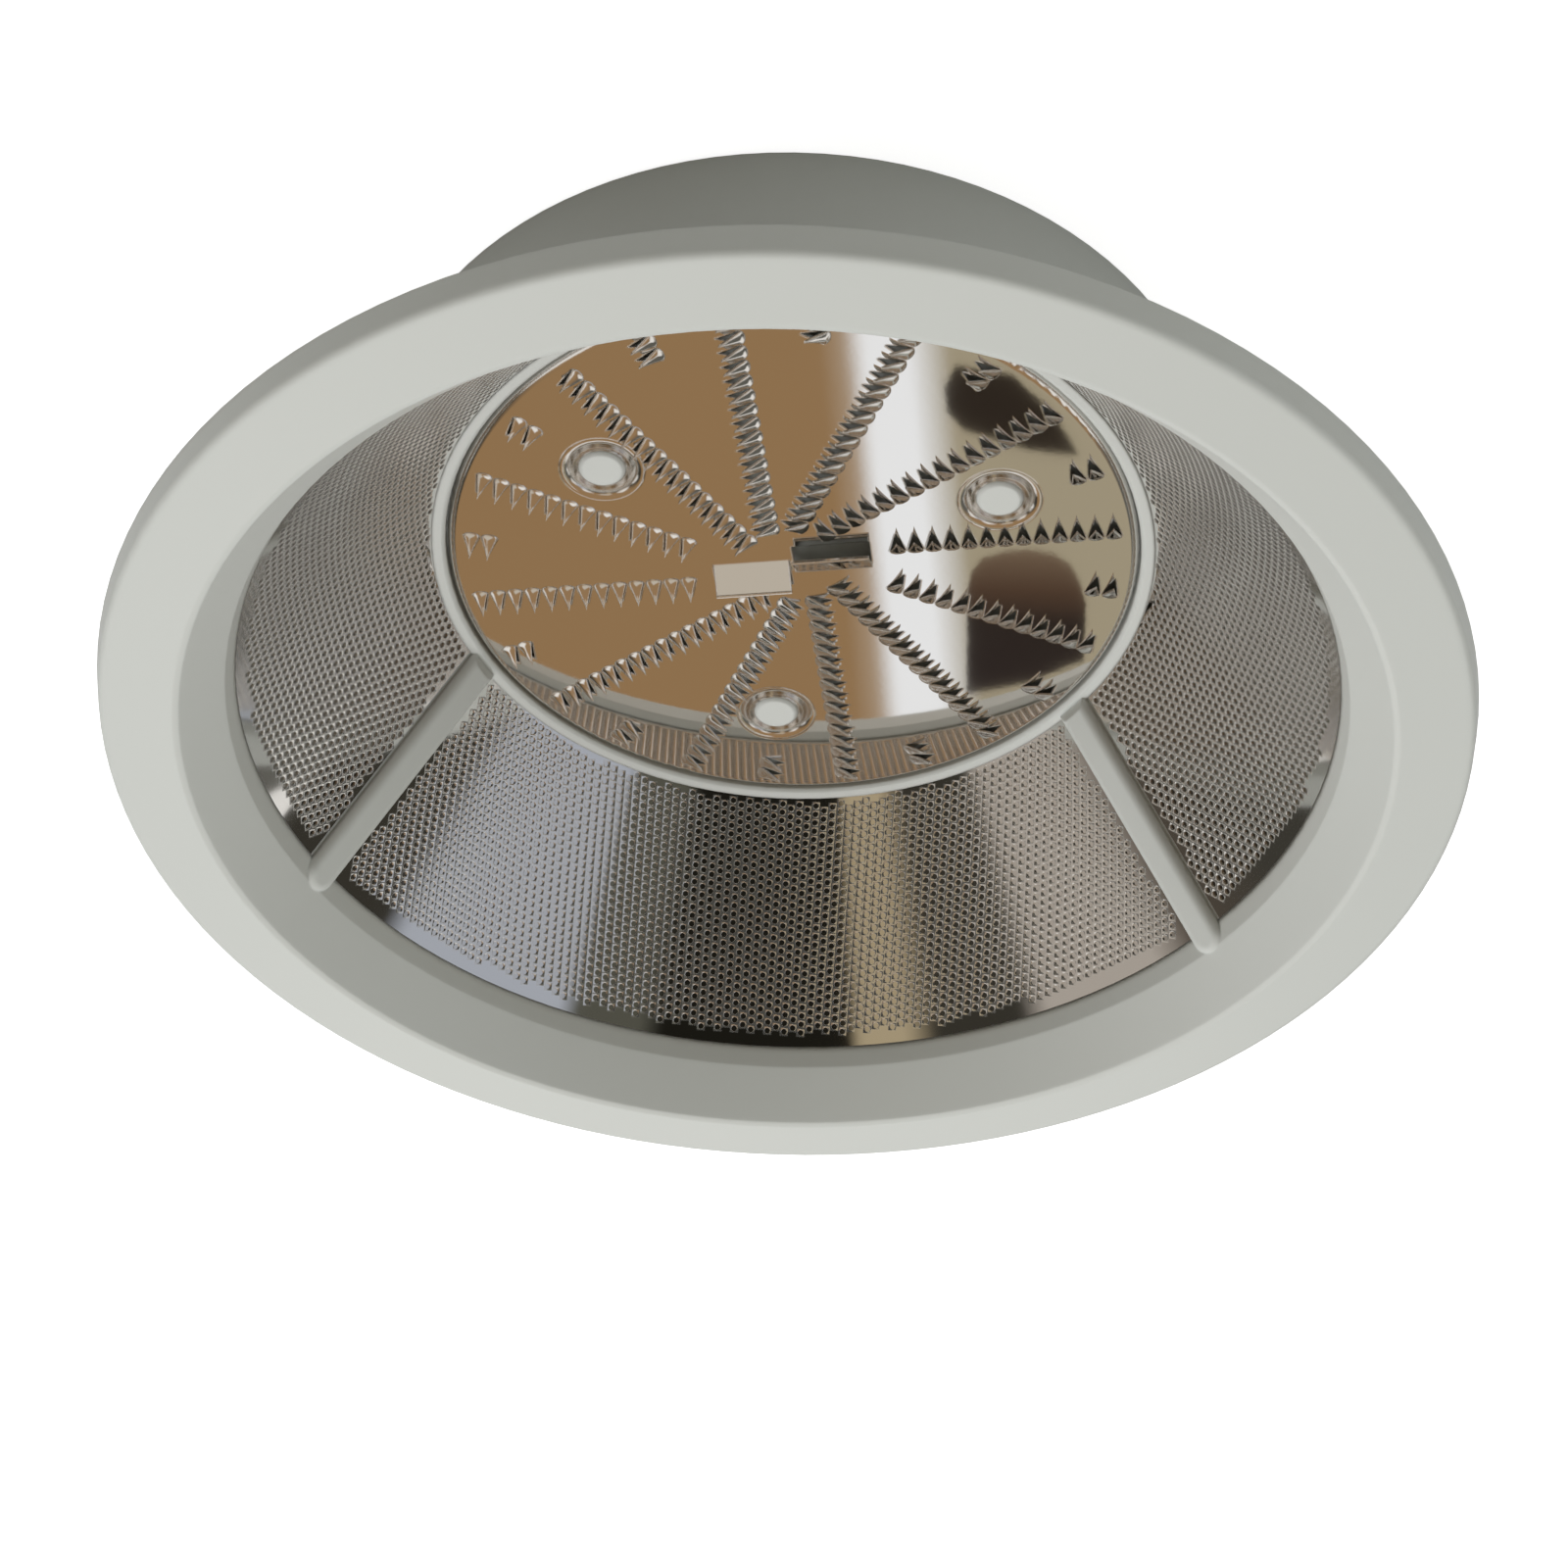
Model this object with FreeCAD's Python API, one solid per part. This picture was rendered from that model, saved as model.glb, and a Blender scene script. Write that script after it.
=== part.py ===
import FreeCAD, Part
import math
import os

# Sieve basket of a centrifugal juicer: a plastic basket moulded round a conical
# metal screen, with a toothed grater disc staked to its floor.
# Millimetres and degrees. The Z axis is the axis of rotation, the foot stands on
# Z = 0 with the bowl open upwards, and the first rib lies over the X axis.

# Rim: flat flange, outer skirt, and the inner band that leads down to the screen
RIM_RADIUS = 75.0
HEIGHT = 48.3
FLANGE_WIDTH = 8.4
FLANGE_DROP = 0.8
SKIRT_HEIGHT = 3.6
SKIRT_FLARE = 0.8
RIM_WALL = 2.0
RIM_ROUND = 1.0
BAND_RISE = 6.0
BAND_RUN = 4.4
SHOULDER_RISE = 2.6
SHOULDER_RUN = 0.8
BAND_WALL = 2.6
EDGE_BEVEL = 0.4

# Screen: perforated sheet rolled into a cone, gripped by the plastic at both edges
SCREEN_SHEET = 0.4
SCREEN_GRIP = 1.2
SCREEN_MARGIN = 1.8
SLOT_WIDTH = 2.0
SLOT_PITCH = 4.6
CUFF_WALL = 1.6
CUFF_LENGTH = 1.5

# Ribs that divide the screen into windows
RIB_COUNT = 3
RIB_WIDTH = 4.5
RIB_PROUD = 1.3
RIB_BACK = 1.2
RIB_OVERRUN = 1.0
RIB_SEAT = 0.6
RIB_ROUND = 1.2

# Drum under the disc, with its foot, floor and the ring that frames the disc
DISC_LEVEL = 13.8
RING_GAP = 0.2
RING_WIDTH = 1.6
RING_RISE = 0.3
FOOT_STEP = 7.4
FOOT_DRAFT = 0.6
DRUM_WALL = 2.0
DRUM_ROUND = 2.5
FLOOR_WALL = 2.0

# Drive hub and stiffeners under the floor
HUB_RADIUS = 12.0
HUB_LIFT = 1.0
BORE_RADIUS = 7.0
BORE_CAP = 1.2
KEYWAY_COUNT = 3
KEYWAY_WIDTH = 3.0
KEYWAY_DEPTH = 1.6
STIFFENER_COUNT = 6
STIFFENER_WALL = 1.8
STIFFENER_DEPTH = 3.5

# Grater disc: thin pan with a turned-down lip
DISC_RADIUS = 40.7
DISC_SHEET = 0.5
DISC_LIP = 1.8
DISC_ROUND = 1.0

# Stakes: moulded posts whose flattened heads hold the disc in its dimples
STAKE_CIRCLE = 26.4
STAKE_RADIUS = 2.0
STAKE_CLEARANCE = 0.15
STAKE_HEAD_RADIUS = 2.7
STAKE_HEAD_RISE = 0.1
STAKE_HEAD_BEVEL = 0.4
BOSS_RADIUS = 4.2
DIMPLE_RADIUS = 4.9
DIMPLE_FLOOR = 3.6
DIMPLE_DEPTH = 0.8

# Teeth: triangles lanced from the disc and bent up, in rows with pairs between them
ROW_COUNT = 12
ROW_TURN = -18.4
ROW_OFFSET = 1.2
ROW_MARGIN = 2.9
PAIR_TEETH = 2
TOOTH_PITCH = 2.1
TOOTH_LAND = 0.2
TOOTH_LENGTH = 2.9
TOOTH_ANGLE = 20.0

# Centre blades: two rectangular flaps lanced from the disc beside its centre
BLADE_LENGTH = 9.0
BLADE_WIDTH = 4.2
BLADE_START = 0.3
BLADE_SET_BACK = 1.1
BLADE_GAP = 0.6
BLADE_ANGLE = 31.0

# Levels and radii that follow from the driving dimensions
RING_INNER = DISC_RADIUS + RING_GAP
RING_OUTER = RING_INNER + RING_WIDTH
RING_TOP = DISC_LEVEL + RING_RISE
FLOOR_TOP = DISC_LEVEL - DISC_LIP
FLOOR_BOTTOM = FLOOR_TOP - FLOOR_WALL
FOOT_RADIUS = RING_OUTER + FOOT_STEP
CREST_RADIUS = RIM_RADIUS - FLANGE_WIDTH
SHOULDER_RADIUS = CREST_RADIUS - BAND_RUN
SHOULDER_LEVEL = HEIGHT - BAND_RISE
SCREEN_TOP_RADIUS = SHOULDER_RADIUS - SHOULDER_RUN
SCREEN_TOP = SHOULDER_LEVEL - SHOULDER_RISE
SCREEN_ANGLE = math.atan2(SCREEN_TOP_RADIUS - RING_OUTER, SCREEN_TOP - RING_TOP)
SCREEN_LENGTH = math.hypot(SCREEN_TOP_RADIUS - RING_OUTER, SCREEN_TOP - RING_TOP)
WINDOW_ANGLE = 360.0 / RIB_COUNT

ORIGIN = FreeCAD.Vector(0, 0, 0)
AXIS = FreeCAD.Vector(0, 0, 1)


def sharp(radius, level):
    """Corner of a section left as it is."""
    return FreeCAD.Vector(radius, 0, level), 0, False


def bevelled(radius, level, size=EDGE_BEVEL):
    """Corner of a section cut off straight, at this distance along both sides."""
    return FreeCAD.Vector(radius, 0, level), size, False


def rounded(radius, level, size):
    """Corner of a section rounded to this radius."""
    return FreeCAD.Vector(radius, 0, level), size, True


def section(corners):
    """Face in the XZ plane inside a closed outline of corners."""
    ends = []
    for index, (corner, size, is_round) in enumerate(corners):
        back = (corners[index - 1][0] - corner).normalize()
        ahead = (corners[(index + 1) % len(corners)][0] - corner).normalize()
        half = back.getAngle(ahead) / 2
        reach = size / math.tan(half) if is_round else size
        depth = size / math.sin(half) - size
        middle = corner + (back + ahead).normalize() * depth if is_round else None
        ends.append((corner + back * reach, middle, corner + ahead * reach))
    edges = []
    for index, (start, middle, end) in enumerate(ends):
        if middle is not None:
            edges.append(Part.Arc(start, middle, end).toShape())
        elif start != end:
            edges.append(Part.LineSegment(start, end).toShape())
        edges.append(Part.LineSegment(end, ends[(index + 1) % len(ends)][0]).toShape())
    return Part.Face(Part.Wire(edges))


def turned(corners):
    """Solid of revolution about the Z axis."""
    return section(corners).revolve(ORIGIN, AXIS, 360)


def rotated(shape, degrees):
    """Copy of a shape turned about the Z axis."""
    copy = shape.copy()
    copy.rotate(ORIGIN, AXIS, degrees)
    return copy


def around(shape, count, first=0.0):
    """Copies of a shape spread evenly about the Z axis."""
    return [rotated(shape, first + 360.0 * index / count) for index in range(count)]


def screen_radius(level, depth=0.0):
    """Radius of the screen's inner face at a level, or of a surface deeper in the sheet."""
    return RING_OUTER + (level - RING_TOP) * math.tan(SCREEN_ANGLE) + depth / math.cos(SCREEN_ANGLE)


def on_screen(shape):
    """Place a shape drawn along (slant, tangent, inward normal) on the screen over the X axis."""
    run = math.sin(SCREEN_ANGLE)
    rise = math.cos(SCREEN_ANGLE)
    matrix = FreeCAD.Matrix(
        run, 0, -rise, RING_OUTER,
        0, 1, 0, 0,
        rise, 0, run, RING_TOP,
        0, 0, 0, 1)
    placed = shape.copy()
    placed.Placement = FreeCAD.Placement(matrix) * placed.Placement
    return placed


def screen_blank():
    """The rolled sheet before it is perforated."""
    run = math.sin(SCREEN_ANGLE)
    rise = math.cos(SCREEN_ANGLE)
    low = (RING_OUTER - SCREEN_GRIP * run, RING_TOP - SCREEN_GRIP * rise)
    high = (SCREEN_TOP_RADIUS + SCREEN_GRIP * run, SCREEN_TOP + SCREEN_GRIP * rise)
    out = (SCREEN_SHEET * rise, -SCREEN_SHEET * run)
    return turned([
        sharp(*low),
        sharp(*high),
        sharp(high[0] + out[0], high[1] + out[1]),
        sharp(low[0] + out[0], low[1] + out[1])])


def mesh_screen():
    """Sheet with a row of slots in each window, clear of the ribs and the edges."""
    slot = Part.makeBox(SCREEN_LENGTH - 2 * SCREEN_MARGIN, SLOT_WIDTH, 4 * SCREEN_SHEET)
    slot.translate(FreeCAD.Vector(SCREEN_MARGIN, -SLOT_WIDTH / 2, -2.5 * SCREEN_SHEET))
    slot = on_screen(slot)
    rib_half = math.degrees(math.asin((RIB_WIDTH / 2 + SCREEN_MARGIN) / RING_OUTER))
    pitch = math.degrees(SLOT_PITCH / ((RING_OUTER + SCREEN_TOP_RADIUS) / 2))
    steps = int((WINDOW_ANGLE - 2 * rib_half) / pitch)
    first = (WINDOW_ANGLE - steps * pitch) / 2
    slots = []
    for step in range(steps + 1):
        slots += around(slot, RIB_COUNT, first + step * pitch)
    return screen_blank().cut(Part.makeCompound(slots))


def rim():
    """Flange, skirt and inner band, with a cuff outside the screen's upper edge."""
    edge = HEIGHT - FLANGE_DROP
    skirt_foot = edge - SKIRT_HEIGHT
    skirt_radius = RIM_RADIUS + SKIRT_FLARE
    middle = SCREEN_SHEET / 2
    cuff = SCREEN_TOP - CUFF_LENGTH
    return turned([
        sharp(screen_radius(SCREEN_TOP, middle), SCREEN_TOP),
        sharp(SCREEN_TOP_RADIUS, SCREEN_TOP),
        sharp(SHOULDER_RADIUS, SHOULDER_LEVEL),
        bevelled(CREST_RADIUS, HEIGHT),
        rounded(RIM_RADIUS, edge, RIM_ROUND),
        bevelled(skirt_radius, skirt_foot),
        sharp(skirt_radius - RIM_WALL, skirt_foot),
        sharp(RIM_RADIUS - RIM_WALL, edge - RIM_WALL),
        sharp(CREST_RADIUS + BAND_WALL, HEIGHT - RIM_WALL),
        sharp(SHOULDER_RADIUS + BAND_WALL, SHOULDER_LEVEL),
        bevelled(screen_radius(cuff, SCREEN_SHEET) + CUFF_WALL, cuff),
        sharp(screen_radius(cuff, middle), cuff)])


def drum():
    """Foot, wall and floor, with the ring inside and a cuff outside the screen's lower edge."""
    cuff = RING_TOP + CUFF_LENGTH
    middle = SCREEN_SHEET / 2
    cuff_radius = screen_radius(cuff, SCREEN_SHEET) + CUFF_WALL
    shoulder = FOOT_RADIUS - FOOT_DRAFT
    return turned([
        sharp(0, FLOOR_BOTTOM),
        sharp(shoulder - DRUM_WALL, FLOOR_BOTTOM),
        sharp(FOOT_RADIUS - DRUM_WALL, 0),
        bevelled(FOOT_RADIUS, 0),
        rounded(shoulder, RING_TOP, DRUM_ROUND),
        bevelled(cuff_radius, cuff),
        sharp(screen_radius(cuff, middle), cuff),
        sharp(screen_radius(RING_TOP, middle), RING_TOP),
        bevelled(RING_INNER, RING_TOP),
        sharp(RING_INNER, FLOOR_TOP),
        sharp(0, FLOOR_TOP)])


def rib():
    """Bar over the screen with rounded inner edges, a fingertip end above and a seat on the ring."""
    half = RIB_WIDTH / 2
    start = -SCREEN_GRIP
    end = SCREEN_LENGTH + RIB_OVERRUN
    base = -SCREEN_SHEET - RIB_BACK
    corners = [FreeCAD.Vector(along, across, base) for along, across in
               ((start, half), (start, -half), (end, -half), (end, half))]
    tip = FreeCAD.Vector(end + half, 0, base)
    outline = Part.Wire([
        Part.LineSegment(corners[0], corners[1]).toShape(),
        Part.LineSegment(corners[1], corners[2]).toShape(),
        Part.Arc(corners[2], tip, corners[3]).toShape(),
        Part.LineSegment(corners[3], corners[0]).toShape()])
    bar = Part.Face(outline).extrude(FreeCAD.Vector(0, 0, RIB_PROUD - base))
    inner_edges = [edge for edge in bar.Edges
                   if edge.BoundBox.ZMin > RIB_PROUD - RIB_ROUND and edge.BoundBox.XMax > start + RIB_ROUND]
    bar = on_screen(bar.makeFillet(RIB_ROUND, inner_edges))
    return bar.cut(Part.makeCylinder(RING_OUTER - RIB_SEAT, HEIGHT))


def stake():
    """Boss, post and flattened head over the X axis; the disc's dimple lies between them."""
    seat = DISC_LEVEL - DIMPLE_DEPTH
    boss_top = seat - DISC_SHEET
    head_top = DISC_LEVEL + STAKE_HEAD_RISE
    post = turned([
        sharp(0, FLOOR_BOTTOM),
        sharp(BOSS_RADIUS, FLOOR_BOTTOM),
        sharp(BOSS_RADIUS, boss_top),
        sharp(STAKE_RADIUS, boss_top),
        sharp(STAKE_RADIUS, seat),
        sharp(STAKE_HEAD_RADIUS, seat),
        bevelled(STAKE_HEAD_RADIUS, head_top, STAKE_HEAD_BEVEL),
        sharp(0, head_top)])
    post.translate(FreeCAD.Vector(STAKE_CIRCLE, 0, 0))
    return post


def drive_bore():
    """Blind round socket with keyways, open at the hub's lower end."""
    depth = FLOOR_TOP - BORE_CAP - HUB_LIFT
    base = FreeCAD.Vector(0, 0, HUB_LIFT)
    bore = Part.makeCylinder(BORE_RADIUS, depth, base)
    keyway = Part.makeBox(BORE_RADIUS + KEYWAY_DEPTH, KEYWAY_WIDTH, depth)
    keyway.translate(FreeCAD.Vector(0, -KEYWAY_WIDTH / 2, HUB_LIFT))
    return bore.fuse(around(keyway, KEYWAY_COUNT))


def stiffener():
    """Straight web under the floor from the hub to the drum's wall, over the X axis."""
    length = FOOT_RADIUS - FOOT_DRAFT - DRUM_WALL / 2 - HUB_RADIUS / 2
    web = Part.makeBox(length, STIFFENER_WALL, STIFFENER_DEPTH + FLOOR_WALL / 2)
    web.translate(FreeCAD.Vector(HUB_RADIUS / 2, -STIFFENER_WALL / 2, FLOOR_BOTTOM - STIFFENER_DEPTH))
    return web


def basket_frame():
    """The one plastic moulding, with the screen's sheet and the drive socket taken out of it."""
    hub = Part.makeCylinder(HUB_RADIUS, FLOOR_TOP - HUB_LIFT, FreeCAD.Vector(0, 0, HUB_LIFT))
    body = drum().fuse(
        [rim(), hub]
        + around(rib(), RIB_COUNT)
        + around(stake(), RIB_COUNT, WINDOW_ANGLE / 2)
        + around(stiffener(), STIFFENER_COUNT, 180.0 / STIFFENER_COUNT))
    return body.cut([screen_blank(), drive_bore()])


def disc_pan():
    """Flat pan with the turned-down lip, and a dimple with a hole at each stake."""
    under = DISC_LEVEL - DISC_SHEET
    pan = turned([
        sharp(0, under),
        bevelled(DISC_RADIUS - DISC_SHEET, under, DISC_ROUND - DISC_SHEET),
        sharp(DISC_RADIUS - DISC_SHEET, FLOOR_TOP),
        sharp(DISC_RADIUS, FLOOR_TOP),
        rounded(DISC_RADIUS, DISC_LEVEL, DISC_ROUND),
        sharp(0, DISC_LEVEL)])
    centre = FreeCAD.Vector(STAKE_CIRCLE, 0, 0)
    hollow = Part.makeCone(DIMPLE_FLOOR, DIMPLE_RADIUS, DIMPLE_DEPTH,
                           centre + FreeCAD.Vector(0, 0, DISC_LEVEL - DIMPLE_DEPTH))
    cup = hollow.copy()
    cup.translate(FreeCAD.Vector(0, 0, -DISC_SHEET))
    hole = Part.makeCylinder(STAKE_RADIUS + STAKE_CLEARANCE, DISC_LEVEL, centre)
    first = WINDOW_ANGLE / 2
    pan = pan.fuse(around(cup, RIB_COUNT, first))
    return pan.cut(around(hollow, RIB_COUNT, first) + around(hole, RIB_COUNT, first))


def lanced(outline, offset, angle):
    """Window in the disc and the flap bent up out of it, for a row over the X axis.

    Points of the outline are (along the row, ahead of the hinge), and the hinge lies at the offset.
    """
    lean = math.cos(math.radians(angle))
    lift = math.sin(math.radians(angle))
    flat = [FreeCAD.Vector(along, offset + ahead, FLOOR_TOP) for along, ahead in outline]
    bent = [FreeCAD.Vector(along, offset + ahead * lean, DISC_LEVEL + ahead * lift)
            for along, ahead in outline]
    window = Part.Face(Part.makePolygon(flat + flat[:1])).extrude(AXIS * (2 * DISC_LIP))
    flap = Part.Face(Part.makePolygon(bent + bent[:1])).extrude(AXIS * -DISC_SHEET)
    return window, flap


def tooth(along):
    """Window and flap of one tooth at a distance along its row."""
    half = (TOOTH_PITCH - TOOTH_LAND) / 2
    outline = [(along - half, 0), (along + half, 0), (along, TOOTH_LENGTH)]
    return lanced(outline, ROW_OFFSET, TOOTH_ANGLE)


def blade():
    """Window and flap of the centre blade over the X axis."""
    end = BLADE_START + BLADE_LENGTH
    outline = [(BLADE_START, 0), (end, 0), (end, BLADE_WIDTH), (BLADE_START, BLADE_WIDTH)]
    return lanced(outline, -BLADE_SET_BACK, BLADE_ANGLE)


def row_places(start):
    """Distances along a row from its outermost tooth in to the start."""
    end = DISC_RADIUS - ROW_MARGIN
    count = int((end - start) / TOOTH_PITCH) + 1
    return [end - TOOTH_PITCH * index for index in range(count)]


def cut_pieces():
    """Windows and flaps of every tooth and blade, turned to their places on the disc."""
    step = math.radians(360.0 / ROW_COUNT)
    half = (TOOTH_PITCH - TOOTH_LAND) / 2
    blade_front = BLADE_WIDTH - BLADE_SET_BACK + BLADE_GAP
    long_row = row_places((blade_front - ROW_OFFSET * math.cos(step)) / math.sin(step) + half)
    short_row = row_places(BLADE_START + BLADE_LENGTH + BLADE_GAP + half)
    pair = long_row[:PAIR_TEETH]
    beside_blade = (0, ROW_COUNT // 2 - 1)
    placed = [(blade(), ROW_TURN), (blade(), ROW_TURN + 180)]
    for row in range(ROW_COUNT):
        turn = ROW_TURN + row * math.degrees(step)
        places = short_row if row % (ROW_COUNT // 2) in beside_blade else long_row
        placed += [(tooth(along), turn) for along in places]
        placed += [(tooth(along), turn + math.degrees(step) / 2) for along in pair]
    windows = [rotated(window, turn) for (window, flap), turn in placed]
    flaps = [rotated(flap, turn) for (window, flap), turn in placed]
    return windows, flaps


def grater_disc():
    """Pan with its windows cut and its flaps standing at their hinges."""
    windows, flaps = cut_pieces()
    return disc_pan().cut(Part.makeCompound(windows)).fuse(flaps)


os.makedirs("parts", exist_ok=True)
basket_frame().exportStep("parts/basket_frame.step")
mesh_screen().exportStep("parts/mesh_screen.step")
grater_disc().exportStep("parts/grater_disc.step")
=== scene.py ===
import math

import bmesh
import bpy
from bpy.props import FloatProperty, FloatVectorProperty, IntProperty, PointerProperty
from mathutils import Matrix, Vector


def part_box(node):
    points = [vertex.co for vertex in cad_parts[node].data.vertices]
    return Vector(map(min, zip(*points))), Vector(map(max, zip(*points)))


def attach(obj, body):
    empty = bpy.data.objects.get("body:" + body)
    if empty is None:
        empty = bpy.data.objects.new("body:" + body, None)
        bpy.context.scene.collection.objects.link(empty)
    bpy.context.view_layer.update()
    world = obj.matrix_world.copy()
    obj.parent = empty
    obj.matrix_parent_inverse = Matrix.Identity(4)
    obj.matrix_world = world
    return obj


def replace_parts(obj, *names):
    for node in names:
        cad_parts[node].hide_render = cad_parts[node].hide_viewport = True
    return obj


bl_info = {
    "name": "Juicer sieve basket",
    "version": (1, 0, 0),
    "blender": (4, 5, 0),
    "location": "View3D > Sidebar > Sieve",
    "description": "Finishes the sieve basket of a juicer around its solid parts",
    "category": "Object",
}

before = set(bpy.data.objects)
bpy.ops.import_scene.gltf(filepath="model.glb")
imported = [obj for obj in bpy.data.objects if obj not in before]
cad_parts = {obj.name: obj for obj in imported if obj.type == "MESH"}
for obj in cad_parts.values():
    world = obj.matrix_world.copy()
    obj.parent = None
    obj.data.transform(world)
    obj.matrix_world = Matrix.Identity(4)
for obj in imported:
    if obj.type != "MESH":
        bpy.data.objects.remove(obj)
MILLIMETRE = 0.001
WINDOW_COUNT = 3
# Twelve rows of teeth and the twelve gaps between them
HALF_ROWS = 24
# The disc's upper face lies this far above the screen's lower edge
SCREEN_TO_DISC = 0.9 * MILLIMETRE
DISC_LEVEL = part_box("mesh_screen")[0].z + SCREEN_TO_DISC
SHARP_BEND = math.radians(50)
SLEEVE_GAP = 0.00026
ROOM_RADIUS = 0.9
CARD_DISTANCE = 0.510
SENSOR_WIDTH = 36.0


class ScreenSettings(bpy.types.PropertyGroup):
    """Sizes and finish of the perforated sheet."""

    foot_radius: FloatProperty(
        name="Foot radius", description="Inner radius of the sheet where it leaves the ring",
        default=0.0425, unit="LENGTH")
    foot_level: FloatProperty(
        name="Foot level", description="Height at which the sheet leaves the ring",
        default=0.0141, unit="LENGTH")
    top_radius: FloatProperty(
        name="Top radius", description="Inner radius of the sheet where it enters the rim",
        default=0.0614, unit="LENGTH")
    top_level: FloatProperty(
        name="Top level", description="Height at which the sheet enters the rim",
        default=0.0397, unit="LENGTH")
    grip: FloatProperty(
        name="Grip", description="Depth of the sheet's edges inside the plastic",
        default=0.0008, unit="LENGTH")
    sheet: FloatProperty(
        name="Sheet", description="Thickness of the sheet", default=0.0002, unit="LENGTH")
    column_pitch: FloatProperty(
        name="Column pitch", description="Distance between neighbouring columns of holes",
        default=0.001066, unit="LENGTH")
    row_pitch: FloatProperty(
        name="Row pitch", description="Distance between holes along a column",
        default=0.00108, unit="LENGTH")
    hole_radius: FloatProperty(
        name="Hole radius", description="Radius of a hole through the sheet",
        default=0.00038, unit="LENGTH")
    hole_bevel: FloatProperty(
        name="Hole bevel", description="Width of the rounded edge round a hole",
        default=0.00003, unit="LENGTH")
    bevel_depth: FloatProperty(
        name="Bevel depth", description="Depth of the rounded edge round a hole",
        default=0.00002, unit="LENGTH")
    sharp_degrees: FloatProperty(
        name="Sharp angle", description="Angle in degrees from which an edge of the sheet is sharp",
        default=40.0)
    low_margin: FloatProperty(
        name="Low margin", description="Plain strip along the ring", default=0.0005, unit="LENGTH")
    high_margin: FloatProperty(
        name="High margin", description="Plain strip along the rim", default=0.0017, unit="LENGTH")
    rib_margin: FloatProperty(
        name="Rib margin", description="Distance from a rib's middle to the first holes",
        default=0.0031, unit="LENGTH")
    color: FloatVectorProperty(
        name="Colour", description="Colour of the sheet's steel", subtype="COLOR",
        default=(0.80, 0.80, 0.79))
    roughness: FloatProperty(
        name="Roughness", description="Roughness of the sheet's plain margins",
        default=0.06, subtype="FACTOR", min=0.0, max=1.0)
    net_roughness: FloatProperty(
        name="Net roughness", description="Roughness of the sheet between its holes",
        default=0.11, subtype="FACTOR", min=0.0, max=1.0)
    net_metallic: FloatProperty(
        name="Net metal", description="Share of mirror in the sheet between its holes",
        default=0.87, subtype="FACTOR", min=0.0, max=1.0)
    net_color: FloatVectorProperty(
        name="Net colour", description="Colour of the sheet between its holes", subtype="COLOR",
        default=(0.78, 0.77, 0.75))


class DiscSettings(bpy.types.PropertyGroup):
    """Teeth and finish of the grater disc."""

    turn: FloatProperty(
        name="Turn", description="Angle of the first row of teeth", default=math.radians(-18.4),
        unit="ROTATION")
    end_radius: FloatProperty(
        name="End radius", description="Distance of the outermost teeth from the axis",
        default=0.0378, unit="LENGTH")
    pitch: FloatProperty(
        name="Tooth pitch", description="Distance between the teeth of a row",
        default=0.0021, unit="LENGTH")
    long_count: IntProperty(
        name="Long row", description="Teeth in a row that runs to the centre", default=16)
    short_count: IntProperty(
        name="Short row", description="Teeth in a row that ends at a blade", default=13)
    pair_count: IntProperty(
        name="Pair", description="Teeth at the edge between two rows", default=2)
    hinge: FloatProperty(
        name="Hinge", description="Distance of the windows' hinges from the middle of their row",
        default=0.0012, unit="LENGTH")
    tooth_length: FloatProperty(
        name="Tooth length", description="From the hinge to the tip along the bent tooth",
        default=0.0028, unit="LENGTH")
    tooth_half: FloatProperty(
        name="Tooth half width", description="Half the width of a tooth at its hinge",
        default=0.0009, unit="LENGTH")
    tooth_root: FloatProperty(
        name="Tooth root", description="Length of the bend behind the hinge",
        default=0.0005, unit="LENGTH")
    tooth_sheet: FloatProperty(
        name="Tooth sheet", description="Thickness of a tooth", default=0.0004, unit="LENGTH")
    dish_circle: FloatProperty(
        name="Dish circle", description="Distance of the pressed dishes from the axis",
        default=0.0264, unit="LENGTH")
    dish_radius: FloatProperty(
        name="Dish radius", description="Outer radius of a pressed dish", default=0.00495, unit="LENGTH")
    dish_floor: FloatProperty(
        name="Dish floor", description="Radius of a dish's flat floor", default=0.0029, unit="LENGTH")
    dish_middle: FloatProperty(
        name="Dish middle", description="Radius of the opening for the stake",
        default=0.00272, unit="LENGTH")
    dish_depth: FloatProperty(
        name="Dish depth", description="Depth of a pressed dish", default=0.00028, unit="LENGTH")
    blade_start: FloatProperty(
        name="Blade start", description="Distance of a centre blade from the axis",
        default=0.0003, unit="LENGTH")
    blade_length: FloatProperty(
        name="Blade length", description="Length of a centre blade", default=0.009, unit="LENGTH")
    blade_width: FloatProperty(
        name="Blade width", description="From a blade's hinge to its free edge",
        default=0.0042, unit="LENGTH")
    blade_set_back: FloatProperty(
        name="Blade set-back", description="Distance of a blade's hinge behind the middle",
        default=0.0011, unit="LENGTH")
    blade_angle: FloatProperty(
        name="Blade angle", description="Of a blade to the disc", default=math.radians(31), unit="ROTATION")
    blade_lip: FloatProperty(
        name="Blade lip", description="Radius of the rolled lip at a blade's free edge",
        default=0.00017, unit="LENGTH")
    blade_reach: FloatProperty(
        name="Blade reach", description="Half the width of the strip that holds the centre blades",
        default=0.0028, unit="LENGTH")
    color: FloatVectorProperty(
        name="Colour", description="Colour of the disc's steel", subtype="COLOR",
        default=(0.82, 0.81, 0.79))
    roughness: FloatProperty(
        name="Roughness", description="Roughness of the disc's steel",
        default=0.03, subtype="FACTOR", min=0.0, max=1.0)
    edge_round: FloatProperty(
        name="Edge round", description="Radius to which the disc's edges look rounded",
        default=0.00035, unit="LENGTH")


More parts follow.
